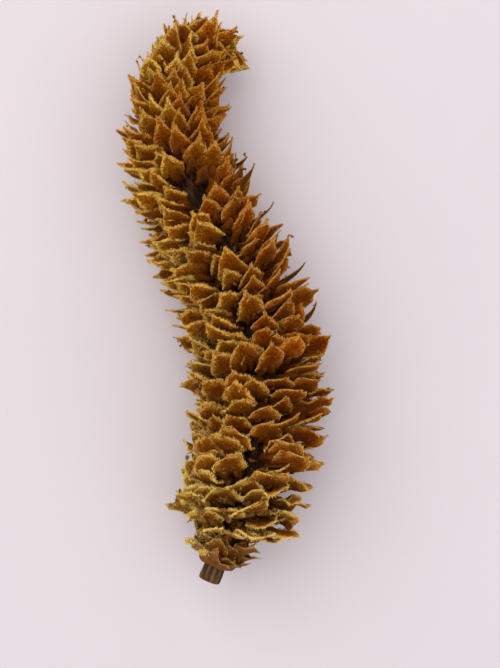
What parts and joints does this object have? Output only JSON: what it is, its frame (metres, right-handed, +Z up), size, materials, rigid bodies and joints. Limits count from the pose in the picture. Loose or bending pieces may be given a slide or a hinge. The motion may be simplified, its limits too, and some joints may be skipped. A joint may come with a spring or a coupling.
{
  "type": "cedar pollen cone",
  "caption": "Spent male cone of a cedar: an S-curved stem packed with spiralling pointed pollen scales, with a papery cup of bud scales round its stalk, lying on its side.",
  "frame": {"origin": "under the middle of the cone's box, on the surface that it lies on", "axes": "+Z up from the surface, +Y from the cut stalk end to the tip, +X to the right as seen from above with the tip at the top"},
  "size_m": [0.0248, 0.0662, 0.0161],
  "materials": {
    "dry_pollen_scale": "matte",
    "papery_bud_scale": "matte",
    "cone_stem": "matte",
    "spent_tissue": "matte"
  },
  "bodies": {
    "root": {"pollen_cone": "dry_pollen_scale", "bud_scale_cup": "papery_bud_scale"}
  },
  "joints": []
}
